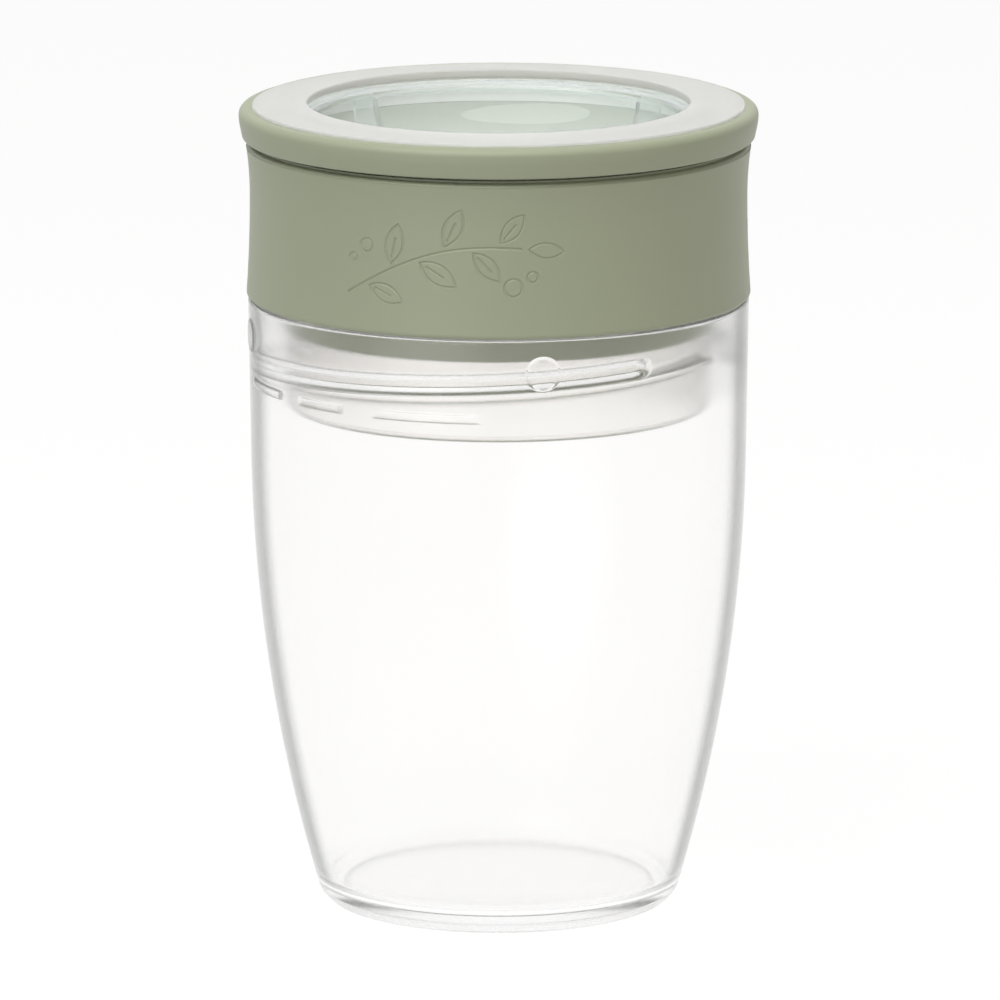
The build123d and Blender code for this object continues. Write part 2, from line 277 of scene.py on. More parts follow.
def lathe(profile):
    """A closed surface spun about the axis from an outline of (radius, height) points.

    One sector is spun and then doubled, which is much quicker than one long spin.
    """
    mesh = bmesh.new()
    side = Vector((math.cos(SPIN_START), math.sin(SPIN_START), 0))
    chain = [mesh.verts.new(side * radius + Vector((0, 0, height))) for radius, height in profile]
    pairs = list(zip(chain, chain[1:]))
    if profile[0][0] > 0:
        pairs.append((chain[-1], chain[0]))
    edges = [mesh.edges.new(pair) for pair in pairs]
    sector = TURN / 2**SPIN_DOUBLINGS
    steps = COLUMNS // 2**SPIN_DOUBLINGS
    bmesh.ops.spin(mesh, geom=chain + edges, cent=(0, 0, 0), axis=(0, 0, 1), angle=sector, steps=steps)
    for doubling in range(SPIN_DOUBLINGS):
        made = bmesh.ops.duplicate(mesh, geom=mesh.verts[:] + mesh.edges[:] + mesh.faces[:])
        turn = Matrix.Rotation(sector * 2**doubling, 3, "Z")
        bmesh.ops.rotate(mesh, cent=(0, 0, 0), matrix=turn, verts=verts_in(made))
    bmesh.ops.remove_doubles(mesh, verts=mesh.verts, dist=SAME_PLACE)
    bmesh.ops.recalc_face_normals(mesh, faces=mesh.faces)
    return mesh


def bevel(mesh, edges, amount, segments):
    """Rounds some edges of a mesh."""
    bmesh.ops.bevel(
        mesh, geom=edges, offset=amount, segments=segments, affect="EDGES", profile=0.5, material=-1
    )


def round_circle(mesh, radius, height, amount, segments=4):
    """Rounds the circular edge of a lathed mesh that lies at a radius and height."""
    ring = {
        vert
        for vert in mesh.verts
        if abs(vert.co.z - height) < ON_CIRCLE and abs(vert.co.xy.length - radius) < ON_CIRCLE
    }
    picked = {edge for vert in ring for edge in vert.link_edges if edge.other_vert(vert) in ring}
    bevel(mesh, sorted(picked, key=lambda edge: edge.index), amount, segments)


def add_box(mesh, matrix, size, amount):
    """A box with rounded edges, centred on a matrix."""
    made = bmesh.ops.create_cube(mesh, size=1.0, matrix=matrix @ Matrix.Diagonal((*size, 1.0)))
    edges = list({edge for vert in made["verts"] for edge in vert.link_edges})
    bevel(mesh, edges, amount, 3)


def polar(turn, radius, height):
    """A matrix whose X axis points outwards at an angle, a radius and a height."""
    return Matrix.Rotation(turn, 4, "Z") @ Matrix.Translation((radius, 0, height))


def outwards(vert):
    """The level direction from the axis to a vertex."""
    return Vector((vert.co.x, vert.co.y, 0)).normalized()


def finished(name, mesh, sharp_degrees=35):
    """Turns a bmesh into an object that is smooth except at its sharp edges."""
    data = bpy.data.meshes.new(name)
    mesh.to_mesh(data)
    mesh.free()
    piece = bpy.data.objects.new(name, data)
    bpy.context.scene.collection.objects.link(piece)
    data.shade_smooth()
    data.set_sharp_from_angle(angle=math.radians(sharp_degrees))
    return piece


def place(piece, node, finish):
    """Puts a piece in the place of its frame node, with its body and finish, and hides the node."""
    piece.data.materials.clear()
    piece.data.materials.append(finish(bpy.context.scene.cup_colours))
    weighted = piece.modifiers.new("Weighted normals", "WEIGHTED_NORMAL")
    weighted.keep_sharp = True
    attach(piece, frame["nodes"][node]["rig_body"])
    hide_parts(node)


def cut_or_join(piece, tool, operation):
    """Applies a Boolean with a helper object, which is then removed."""
    modifier = piece.modifiers.new(operation.title(), "BOOLEAN")
    modifier.object = tool
    modifier.operation = operation
    modifier.solver = "EXACT"
    graph = bpy.context.evaluated_depsgraph_get()
    data = bpy.data.meshes.new_from_object(piece.evaluated_get(graph))
    old = piece.data
    piece.modifiers.clear()
    piece.data = data
    data.name = piece.name
    bpy.data.meshes.remove(old)
    bpy.data.objects.remove(tool)


# Materials

PLASTIC_IOR = 1.49
SILICONE_IOR = 1.41
FLOW_STRETCH = (1, 1, 0.35)
# How far the eye leans along the wall where the painted edge shade starts and where it is full
EDGE_STARTS = 0.60
EDGE_FULL = 0.75
INSIDE_ROUGHNESS = 0.05
THREAD_ROUGHNESS = 0.10


class Value:
    """A socket whose arithmetic adds Math nodes to its finish."""

    def __init__(self, finish, socket):
        self.finish = finish
        self.socket = socket

    def math(self, operation, *values):
        return self.finish.node("ShaderNodeMath", {"operation": operation}, dict(enumerate(values)))

    def __add__(self, other):
        return self.math("ADD", self, other)

    def __rsub__(self, other):
        return self.math("SUBTRACT", other, self)

    def __mul__(self, other):
        return self.math("MULTIPLY", self, other)

    __radd__ = __add__
    __rmul__ = __mul__


class Finish:
    """A material or world tree, with the one method that adds a node."""

    def __init__(self, name, owner=None):
        self.material = owner or bpy.data.materials.new(name)
        self.material.use_nodes = True
        self.tree = self.material.node_tree
        self.tree.nodes.clear()

    def node(self, kind, settings=None, inputs=None, output=0):
        """Adds a node with its settings first and then its values and links."""
        made = self.tree.nodes.new(kind)
        for name, setting in (settings or {}).items():
            setattr(made, name, setting)
        for name, given in (inputs or {}).items():
            if isinstance(given, Value):
                self.tree.links.new(given.socket, made.inputs[name])
            else:
                made.inputs[name].default_value = given
        return Value(self, made.outputs[output]) if made.outputs else None

    def noise(self, scale, detail, stretch=(1, 1, 1)):
        """Noise over the piece, with its size in the piece's own metres."""
        place_in_piece = self.node("ShaderNodeTexCoord", output="Object")
        stretched = self.node("ShaderNodeMapping", None, {"Vector": place_in_piece, "Scale": stretch})
        inputs = {"Vector": stretched, "Scale": scale, "Detail": detail}
        return self.node("ShaderNodeTexNoise", None, inputs)

    def mix(self, factor, first, second):
        """A colour between two others."""
        inputs = {"Factor": factor, "A": first, "B": second}
        return self.node("ShaderNodeMix", {"data_type": "RGBA"}, inputs, output=2)

    def bump(self, height, strength, distance):
        """A normal that follows a height."""
        inputs = {"Height": height, "Strength": strength, "Distance": distance}
        return self.node("ShaderNodeBump", None, inputs, output="Normal")

    def surface(self, shader):
        """Ends the tree in a shader."""
        owner = "World" if isinstance(self.material, bpy.types.World) else "Material"
        self.node("ShaderNodeOutput" + owner, None, {"Surface": shader})
        return self.material

    def plastic(self, tone, rough, normal, constants):
        """Ends the tree in a plastic whose colour, roughness and normal vary over the piece."""
        inputs = {"Base Color": tone, "Roughness": rough, "Normal": normal, **constants}
        return self.surface(self.node("ShaderNodeBsdfPrincipled", None, inputs))


def opaque(tint):
    """A colour with full alpha."""
    return (*tint, 1.0)


def shifted(tint, amount):
    """A tint made lighter or darker by a share."""
    return opaque([min(1.0, max(0.0, part * (1 + amount))) for part in tint])


def green_plastic(colours):
    """Satin sage plastic with a fine spark-eroded grain."""
    finish = Finish("green_plastic")
    grain = finish.noise(5200, detail=3)
    cloud = finish.noise(38, detail=2)
    tone = finish.mix(cloud, shifted(colours.green, -0.035), shifted(colours.green, 0.035))
    normal = finish.bump(grain, 0.10, 0.04 * MM)
    constants = {"IOR": PLASTIC_IOR, "Specular IOR Level": 0.45}
    return finish.plastic(tone, 0.40 + 0.10 * grain, normal, constants)


def clear_plastic(name, tint, wave_scale, wave_strength, base_roughness, transmission, painted_edge_shade=None):
    """Clear, slightly milky moulded plastic with faint flow waves in its surface.

    The painted edge shade is a dark colour mixed in where the eye looks along the outer wall: painted shade
    for the dark edges of clear plastic.
    """
    finish = Finish(name)
    wave = finish.noise(wave_scale, detail=1.5, stretch=FLOW_STRETCH)
    haze = finish.noise(900, detail=3)
    tone = finish.mix(haze, shifted(tint, -0.006), opaque(tint))
    rough = base_roughness + 0.02 * haze
    if painted_edge_shade:
        outside = finish.node("ShaderNodeAttribute", {"attribute_name": "outer_wall"}, output="Fac")
        facing = finish.node("ShaderNodeLayerWeight", None, {"Blend": 0.5}, output="Facing")
        grazing = finish.node(
            "ShaderNodeMapRange",
            {"interpolation_type": "SMOOTHSTEP"},
            {"Value": facing, "From Min": EDGE_STARTS, "From Max": EDGE_FULL},
        )
        # Painted shade: a dark colour mixed in on the outer wall where the eye looks along it
        tone = finish.mix(grazing * outside, tone, opaque(painted_edge_shade))
        thread = finish.node("ShaderNodeAttribute", {"attribute_name": "thread_zone"}, output="Fac")
        rough = rough + INSIDE_ROUGHNESS * (1 - outside) + THREAD_ROUGHNESS * thread
    normal = finish.bump(wave, wave_strength, 0.25 * MM)
    constants = {"IOR": PLASTIC_IOR, "Transmission Weight": transmission}
    return finish.plastic(tone, rough, normal, constants)


def frosted_finish(name, tint, ior, transmission, base_roughness, grain_scale):
    """Translucent plastic or silicone with a matt, lightly grained skin."""
    finish = Finish(name)
    grain = finish.noise(grain_scale, detail=3)
    cloud = finish.noise(60, detail=2)
    tone = finish.mix(cloud, shifted(tint, -0.02), opaque(tint))
    normal = finish.bump(grain, 0.08, 0.05 * MM)
    constants = {"IOR": ior, "Transmission Weight": transmission}
    return finish.plastic(tone, base_roughness + 0.08 * grain, normal, constants)


def cup_finish(colours):
    """The cup's clear plastic, with painted shade where the eye looks along its wall."""
    look = {"wave_scale": 55, "wave_strength": 0.04, "base_roughness": 0.06, "transmission": 1.0}
    return clear_plastic("clear_plastic", colours.clear, painted_edge_shade=colours.painted_edge_colour, **look)


def dish_finish(colours):
    """The dish's clear plastic, with a trace of green."""
    look = {"wave_scale": 30, "wave_strength": 0.02, "base_roughness": 0.05, "transmission": 0.8}
    return clear_plastic("clear_dish_plastic", colours.dish, **look)


def sleeve_finish(colours):
    """The threaded sleeve's frosted plastic."""
    return frosted_finish("frosted_plastic", colours.frosted, PLASTIC_IOR, 0.985, 0.16, 2400)


def seal_finish(colours):
    """The nearly opaque silicone of the two seals."""
    return frosted_finish("silicone", colours.silicone, SILICONE_IOR, 0.08, 0.42, 3200)


def valve_finish(colours):
    """The drinking valve's frosted silicone."""
    return frosted_finish("frosted_silicone", colours.soft, SILICONE_IOR, 0.68, 0.32, 3600)


# Forms shared by the pieces

# Half the height of the rows that follow the thread, and the distances between plain rows
THREAD_BAND = 6.6 * MM
ROW_STEP = 0.6 * MM
BELLY_STEP = 2 * MM


def cup_radius(sizes, height, inset=0.0):
    """Radius of the cup's wall at a height, on a face that lies inset from the outside."""
    lean = sizes.draft
    shoulder_radius = sizes.mouth_radius - (high("cup") - sizes.shoulder_height) * math.tan(lean)
    if height > sizes.shoulder_height + inset * math.sin(lean):
        return shoulder_radius + (height - sizes.shoulder_height) * math.tan(lean) - inset / math.cos(lean)
    centre_radius = shoulder_radius - sizes.belly_radius * math.cos(lean)
    centre_height = sizes.shoulder_height + sizes.belly_radius * math.sin(lean)
    return centre_radius + math.sqrt((sizes.belly_radius - inset) ** 2 - (height - centre_height) ** 2)


def thread_rise(turn, centre, span, thread):
    """How far the thread has risen at an angle, and the angle measured from its rib's middle."""
    sector = TURN / thread.starts
    local = (turn - centre + sector / 2) % sector - sector / 2
    climb = min(abs(local), span / 2) * thread.lead / TURN
    fade = smooth((sector / 2 - abs(local)) / (sector / 2 - span / 2))
    return math.copysign(climb * fade, local), local


def shape_thread(mesh, wanted, thread, form):
    """Shears the rows of a lathed wall along the thread and raises its ribs from the wall."""
    for vert in mesh.verts:
        offset = vert.co.z - form["height"]
        radius = vert.co.xy.length
        if abs(offset) > THREAD_BAND or not wanted(radius):
            continue
        turn = math.atan2(vert.co.y, vert.co.x)
        rise, local = thread_rise(turn, form["centre"], form["span"], thread)
        rise *= smooth((THREAD_BAND - abs(offset)) / (THREAD_BAND - form["root"] * 0.7))
        past_end = max(0.0, abs(local) * radius - (form["span"] / 2 * radius - form["root"] / 2))
        distance = math.hypot(offset, past_end)
        flank = (form["root"] - form["crest"]) / 2
        share = smooth((form["root"] / 2 - distance) / flank)
        vert.co.z += rise
        vert.co += outwards(vert) * form["depth"] * share


def thread_rows(form):
    """Heights of the rows across a rib, close together on its flanks, and out to both sides."""
    crest, root = form["crest"] / 2, form["root"] / 2
    inside = steps_between(0, crest, 0.4 * MM)
    flank = steps_between(crest, root, 0.1 * MM)
    outside = steps_between(root, THREAD_BAND, ROW_STEP) + [THREAD_BAND]
    half = inside + flank + outside
    return sorted({round(form["height"] + sign * value, 7) for value in half for sign in (-1, 1)})


def rib_form(thread, end, drop, **section):
    """A rib's middle and height, with its span, depth, root and crest."""
    centre = end - section["span"] / 2
    height = thread.front_height - drop + (centre - FRONT) * thread.lead / TURN
    return {"centre": centre, "height": height, **section}


# Cup

# Where each fill bar starts, and the angle that it covers, in degrees
BAR_SPANS = ((-167.0, 18.0), (-142.0, 14.0), (-120.0, 26.0))
BAR_FLANK = 0.2 * MM
BAR_END = 0.5 * MM
BAR_MARGIN = 1.2 * MM
# A pad's rings: their radius and relief as shares of the pad's
PAD_COUNT = 4
PAD_RINGS = 8
PAD_RINGS_AT = (0.0, 0.3, 0.55, 0.76, 0.88, 0.95, 1.0, 1.07)
PAD_RELIEF_AT = (1.0, 1.0, 1.0, 1.0, 0.97, 0.8, 0.3, 0.0)
# Where the marks for the cup's finish begin, and how fast the one round the thread grows
OUTER_MARK_START = 2.5 * MM
THREAD_MARK_START = 80 * MM
THREAD_MARK_FADE = 4 * MM


def outer_verts(mesh, sizes, height, band):
    """The vertices of the cup's outer wall within a band above and below a height."""
    for vert in mesh.verts:
        in_band = abs(vert.co.z - height) <= band
        if in_band and vert.co.xy.length >= cup_radius(sizes, vert.co.z) - sizes.wall / 2:
            yield vert


def shape_pads(mesh, sizes):
    """Turns the square rows and columns round each gate pad into rings and raises the pad."""
    column = cup_radius(sizes, sizes.pad_height) * COLUMN_ANGLE
    for vert in outer_verts(mesh, sizes, sizes.pad_height, (PAD_RINGS + 0.5) * column):
        turn = math.atan2(vert.co.y, vert.co.x) - SPIN_START
        quarter = TURN / PAD_COUNT
        local = (turn + quarter / 2) % quarter - quarter / 2
        across = local / COLUMN_ANGLE
        up = (vert.co.z - sizes.pad_height) / column
        ring = max(abs(across), abs(up))
        if ring < 0.5:
            vert.co += outwards(vert) * sizes.pad_relief
            continue
        if ring > PAD_RINGS - 0.5:
            continue
        ring_index = round(ring)
        circle = PAD_RINGS_AT[ring_index] * sizes.pad_radius / math.hypot(across, up)
        new_turn = SPIN_START + turn - local + across * circle / cup_radius(sizes, sizes.pad_height)
        height = sizes.pad_height + up * circle
        new_radius = cup_radius(sizes, height) + sizes.pad_relief * PAD_RELIEF_AT[ring_index]
        vert.co = Vector((new_radius * math.cos(new_turn), new_radius * math.sin(new_turn), height))


def shape_bars(mesh, sizes):
    """Raises the fill bars from the cup's outer wall."""
    half = sizes.bar_width / 2
    for vert in outer_verts(mesh, sizes, sizes.bar_height, half):
        turn = math.degrees(math.atan2(vert.co.y, vert.co.x))
        for start, span in BAR_SPANS:
            along = (turn - start) % 360
            if along < span:
                edge = math.radians(min(along, span - along)) * vert.co.xy.length
                side = half - abs(vert.co.z - sizes.bar_height)
                share = smooth(side / BAR_FLANK) * smooth(edge / BAR_END)
                vert.co += outwards(vert) * sizes.bar_relief * share


def mark_outer_wall(mesh, sizes):
    """Writes 1 on the cup's outer wall, and on its inside round the thread, for its finish."""
    wall_layer = mesh.verts.layers.float.new("outer_wall")
    thread_layer = mesh.verts.layers.float.new("thread_zone")
    for vert in mesh.verts:
        height = vert.co.z
        outside = vert.co.xy.length > cup_radius(sizes, max(height, sizes.corner_height)) - sizes.wall / 3
        marked = outside and height > sizes.corner_height + OUTER_MARK_START
        vert[wall_layer] = 1.0 if marked else 0.0
        vert[thread_layer] = 0.0 if outside else smooth((height - THREAD_MARK_START) / THREAD_MARK_FADE)


class TRAININGCUP_OT_cup(Operator):
    """Makes the clear cup with its belly, inside thread, fill bars and gate pads"""

    bl_idname = "trainingcup.cup"
    bl_label = "Cup"

    def execute(self, context):
        sizes = context.scene.cup_sizes
        thread = context.scene.thread_sizes
        top = high("cup")
        column = cup_radius(sizes, sizes.pad_height) * COLUMN_ANGLE
        pad_rows = [sizes.pad_height + step * column for step in range(-PAD_RINGS, PAD_RINGS + 1)]
        half = sizes.bar_width / 2
        bar_rows = [
            sizes.bar_height + side * offset
            for offset in (0.0, half - BAR_FLANK, half - BAR_FLANK / 2, half, half + BAR_FLANK)
            for side in (-1, 1)
        ]
        outer_heights = steps_between(sizes.corner_height, sizes.bar_height - BAR_MARGIN, BELLY_STEP)
        outer_heights += bar_rows
        outer_heights += steps_between(sizes.bar_height + BAR_MARGIN, pad_rows[0] - 0.3 * MM, 0.8 * MM)
        outer_heights += pad_rows + steps_between(pad_rows[-1] + 0.5 * MM, top, ROW_STEP) + [top]
        outer_heights = sorted({round(height, 7) for height in outer_heights})
        form = rib_form(
            thread,
            thread.cup_end,
            drop=0.0,
            span=thread.cup_span,
            depth=-thread.cup_depth,
            root=thread.cup_root,
            crest=thread.cup_crest,
        )
        inner_rows = thread_rows(form)
        cavity = sizes.recess_depth + sizes.floor
        floor_edge = cup_radius(sizes, cavity + sizes.floor_round, sizes.wall)
        round_centre = (floor_edge - sizes.floor_round, cavity + sizes.floor_round)
        round_points = quarter_arc(round_centre, sizes.floor_round, 12)
        inner_heights = steps_between(cavity + sizes.floor_round + 1 * MM, inner_rows[0], BELLY_STEP)
        inner_heights += inner_rows + [top]
        profile = [(0, sizes.recess_depth), (sizes.recess_radius * 0.5, sizes.recess_depth)]
        profile += [(sizes.recess_radius, sizes.recess_depth), (sizes.recess_radius, 0)]
        profile += [(sizes.foot_radius, 0)]
        profile += [(cup_radius(sizes, height), height) for height in outer_heights]
        profile += [(cup_radius(sizes, height, sizes.wall), height) for height in reversed(inner_heights)]
        profile += list(reversed(round_points))
        profile += [(round_centre[0] * 0.5, cavity), (0, cavity)]
        mesh = lathe(profile)
        inner_limit = cup_radius(sizes, sizes.bar_height) - sizes.wall / 2
        shape_pads(mesh, sizes)
        shape_bars(mesh, sizes)
        shape_thread(mesh, lambda radius: 0 < radius < inner_limit, thread, form)
        round_circle(mesh, sizes.recess_radius, sizes.recess_depth, 0.3 * MM, 3)
        round_circle(mesh, sizes.recess_radius, 0, 0.35 * MM, 3)
        round_circle(mesh, sizes.foot_radius, 0, 0.35 * MM, 3)
        round_circle(mesh, cup_radius(sizes, sizes.corner_height), sizes.corner_height, 0.3 * MM, 4)
        round_circle(mesh, cup_radius(sizes, top), top, 0.45 * MM, 4)
        round_circle(mesh, cup_radius(sizes, top, sizes.wall), top, 0.45 * MM, 4)
        mark_outer_wall(mesh, sizes)
        piece = finished("clear_cup", mesh, sharp_degrees=60)
        place(piece, "cup", cup_finish)
        piece.visible_shadow = False
        return {"FINISHED"}


GASKET_WIDTH = 4.6 * MM
GASKET_ROUND = 0.4 * MM


class TRAININGCUP_OT_gasket(Operator):
    """Makes the soft gasket that lies on the cup's mouth"""

    bl_idname = "trainingcup.gasket"
    bl_label = "Mouth gasket"

    def execute(self, context):
        low_end, high_end = low("cup_seal"), high("cup_seal")
        outer = reach("cup_seal")
        inner = outer - GASKET_WIDTH
        mesh = lathe([(inner, low_end), (outer, low_end), (outer, high_end), (inner, high_end)])
        for radius in (inner, outer):
            for height in (low_end, high_end):
                round_circle(mesh, radius, height, GASKET_ROUND)
        piece = finished("mouth_gasket", mesh)
        place(piece, "cup_seal", seal_finish)
        return {"FINISHED"}


# Lid

COLLAR_GAP = 0.3 * MM
# The sprig's stem, leaves and berries, in millimetres from its middle, across and up
STEM_START = (-15.5, -5.0)
STEM_RUN = (30.0, 7.5)
STEM_ARCH = 3.2
LEAVES_AT = (0.10, 0.24, 0.38, 0.52, 0.66, 0.80)
LEAF_LEAN = math.radians(52)
LEAF_STALK = 0.9
LONGEST_LEAF = 6.6
LEAF_WIDTH = 0.44
END_LEAF = (5.4, 2.3)
BERRIES = ((11.0, -3.2, 1.35), (13.9, -1.6, 0.8), (-12.2, 2.4, 1.0), (-14.6, 0.4, 0.6))
TUBES_MEET = 0.0005 * MM


def collar_radius(sizes, height):
    """Radius of the collar's outer wall, two arcs that meet at the waist."""
    from_waist = height - low_of_collar() - sizes.waist_height
    reach_up = sizes.collar_height - sizes.waist_height
    span = reach_up if from_waist > 0 else sizes.waist_height
    bulge = sizes.foot_radius - sizes.waist_radius
    arc = (span * span + bulge * bulge) / (2 * bulge)
    return sizes.waist_radius + arc - math.sqrt(arc * arc - from_waist * from_waist)


def low_of_collar():
    """Height of the collar's outer foot, which is above its plug."""
    return high("cup") + COLLAR_GAP


def bore_radius(sizes, height):
    """Radius of the collar's tapered bore."""
    plug_top = high("cup_seal")
    seat = high("collar")
    narrow = sizes.plug_radius - sizes.plug_wall
    return narrow + (sizes.seat_radius - narrow) * (height - plug_top) / (seat - plug_top)


def stem_point(share):
    """A point on the stem of the engraved sprig, across and up from its middle."""
    across = STEM_START[0] + STEM_RUN[0] * share
    up = STEM_START[1] + STEM_RUN[1] * share + STEM_ARCH * math.sin(math.pi * share)
    return Vector((across, up)) * MM


def stem_way(share):
    """Direction of the sprig's stem."""
    return (stem_point(share + 0.01) - stem_point(share - 0.01)).normalized()


def leaf_outline(base, way, size, width):
    """A closed leaf outline that starts and ends in a point."""
    side = Vector((-way.y, way.x))
    half = 12
    points = []
    for index in range(2 * half):
        share = index / half if index <= half else 2 - index / half
        bulge = math.sin(math.pi * share) ** 0.85 * (1 if index <= half else -1)
        points.append(base + way * size * share + side * width / 2 * bulge)
    return points


def circle_outline(centre, radius, count=28):
    """A closed circle in the design's plane."""
    turns = [TURN * index / count for index in range(count)]
    return [centre + Vector((math.cos(turn), math.sin(turn))) * radius for turn in turns]


def sprig_lines():
    """Fine lines of one leafy sprig: (points, whether closed)."""
    lines = [([stem_point(index / 40) for index in range(38)], False)]
    for index, share in enumerate(LEAVES_AT):
        side = 1 if index % 2 else -1
        way = Matrix.Rotation(side * LEAF_LEAN, 2) @ stem_way(share)
        base = stem_point(share) + way * LEAF_STALK * MM
        size = (LONGEST_LEAF - 2.4 * abs(share - 0.38)) * MM
        lines.append((leaf_outline(base, way, size, LEAF_WIDTH * size), True))
        vein = [base + way * size * (0.16 + 0.5 * step / 6) for step in range(7)]
        lines.append((vein, False))
    end_leaf = leaf_outline(stem_point(0.96), stem_way(1.0), END_LEAF[0] * MM, END_LEAF[1] * MM)
    lines.append((end_leaf, True))
    for across, up, radius in BERRIES:
        lines.append((circle_outline(Vector((across, up)) * MM, radius * MM), True))
    return lines


def groove_tool(sizes, turn):
    """Tubes that dip into the collar's outer wall along the lines of a sprig."""
    curve = bpy.data.curves.new("groove_tool", "CURVE")
    curve.dimensions = "3D"
    curve.bevel_depth = sizes.groove_radius
    curve.bevel_resolution = 2
    curve.use_fill_caps = True
    for points, closed in sprig_lines():
        spline = curve.splines.new("POLY")
        spline.points.add(len(points) - 1)
        for spot, place_on_wall in zip(spline.points, points):
            height = sizes.sprig_height + place_on_wall.y
            wall = collar_radius(sizes, height)
            around = turn + place_on_wall.x / wall
            wall += sizes.groove_radius - sizes.groove_depth
            spot.co = (wall * math.cos(around), wall * math.sin(around), height, 1)
        spline.use_cyclic_u = closed
    holder = bpy.data.objects.new("groove_tool", curve)
    bpy.context.scene.collection.objects.link(holder)
    data = bpy.data.meshes.new_from_object(holder.evaluated_get(bpy.context.evaluated_depsgraph_get()))
    bpy.data.objects.remove(holder)
    return data


def engrave(piece, sizes):
    """Cuts the sprigs into the collar."""
    tool_mesh = bmesh.new()
    for index in range(sizes.sprig_count):
        turn = sizes.sprig_angle + index * TURN / sizes.sprig_count
        tool_mesh.from_mesh(groove_tool(sizes, turn))
    bmesh.ops.remove_doubles(tool_mesh, verts=tool_mesh.verts, dist=TUBES_MEET)
    bmesh.ops.recalc_face_normals(tool_mesh, faces=tool_mesh.faces)
    cut_or_join(piece, finished("groove_tool", tool_mesh), "DIFFERENCE")
    piece.data.set_sharp_from_angle(angle=math.radians(32))


class TRAININGCUP_OT_collar(Operator):
    """Makes the green collar with its waist, seat, tapered bore and plug"""

    bl_idname = "trainingcup.collar"
    bl_label = "Collar"

    def execute(self, context):
        sizes = context.scene.lid_sizes
        foot, seat, plug_foot = low_of_collar(), high("collar"), low("collar")
        top = foot + sizes.collar_height
        plug_top = high("cup_seal")
        core_top = plug_top + sizes.core_depth
        seat_edge = sizes.seat_radius + sizes.seat_width
        plug_bore = sizes.plug_radius - sizes.plug_wall
        core_radius = sizes.waist_radius - sizes.wall
        lip_radius = sizes.foot_radius - sizes.lip
        outer_rows = steps_between(foot, top, ROW_STEP)
        bore_rows = steps_between(plug_top, seat, BELLY_STEP)
        profile = [(collar_radius(sizes, height), height) for height in outer_rows]
        profile += [(sizes.foot_radius, top), (seat_edge, top)]
        profile += [(seat_edge, seat), (sizes.seat_radius, seat)]
        profile += [(bore_radius(sizes, height), height) for height in reversed(bore_rows)]
        profile += [(plug_bore, plug_foot), (sizes.plug_radius, plug_foot), (sizes.plug_radius, plug_top)]
        profile += [(sizes.plug_radius + sizes.bore_wall, plug_top)]
        profile += [(bore_radius(sizes, core_top) + sizes.bore_wall, core_top), (core_radius, core_top)]
        profile += [(core_radius, plug_top), (lip_radius, plug_top), (lip_radius, foot)]
        mesh = lathe(profile)
        round_circle(mesh, sizes.foot_radius, top, sizes.top_round, 6)
        round_circle(mesh, sizes.foot_radius, foot, sizes.edge_round, 5)
        round_circle(mesh, sizes.plug_radius, plug_foot, 0.4 * MM, 4)
        round_circle(mesh, plug_bore, plug_foot, 0.3 * MM, 3)
        round_circle(mesh, sizes.seat_radius, seat, 0.3 * MM, 3)
        round_circle(mesh, lip_radius, foot, 0.2 * MM, 3)
        piece = finished("green_collar", mesh)
        engrave(piece, sizes)
        place(piece, "collar", green_plastic)
        return {"FINISHED"}


class TRAININGCUP_OT_sleeve(Operator):
    """Makes the frosted sleeve with two outside ribs and a neck inside the plug"""

    bl_idname = "trainingcup.sleeve"
    bl_label = "Threaded sleeve"

    def execute(self, context):
        sizes = context.scene.lid_sizes
        thread = context.scene.thread_sizes
        foot, neck_top, plug_foot = low("threaded_sleeve"), high("threaded_sleeve"), low("collar")
        bore = sizes.sleeve_radius - sizes.sleeve_wall
        neck_radius = sizes.plug_radius - sizes.plug_wall - sizes.neck_clearance
        neck_bore = neck_radius - sizes.neck_wall
        form = rib_form(
            thread,
            thread.sleeve_end,
            drop=thread.sleeve_drop,
            span=thread.sleeve_span,
            depth=thread.sleeve_depth,
            root=thread.sleeve_root,
            crest=thread.sleeve_crest,
        )
        lowest, highest = foot + 0.2 * MM, plug_foot - 0.2 * MM
        rows = [height for height in thread_rows(form) if lowest < height < highest]
        profile = [(bore, foot), (sizes.sleeve_radius, foot)]
        profile += [(sizes.sleeve_radius, height) for height in rows]
        profile += [(sizes.sleeve_radius, plug_foot), (neck_radius, plug_foot), (neck_radius, neck_top)]
        profile += [(neck_bore, neck_top), (neck_bore, plug_foot - sizes.sleeve_wall)]
        profile += [(bore, plug_foot - 2 * sizes.sleeve_wall)]
        mesh = lathe(profile)
        limit = (bore + sizes.sleeve_radius) / 2
        shape_thread(mesh, lambda radius: radius > limit, thread, form)
        round_circle(mesh, sizes.sleeve_radius, foot, sizes.sleeve_round, 6)
        round_circle(mesh, bore, foot, 0.35 * MM, 3)
        round_circle(mesh, neck_radius, neck_top, 0.3 * MM, 3)
        piece = finished("frosted_sleeve", mesh, sharp_degrees=75)
        place(piece, "threaded_sleeve", sleeve_finish)
        return {"FINISHED"}


# Top

LIP_INSET = 1.1 * MM
LIP_ROUND = 0.06 * MM


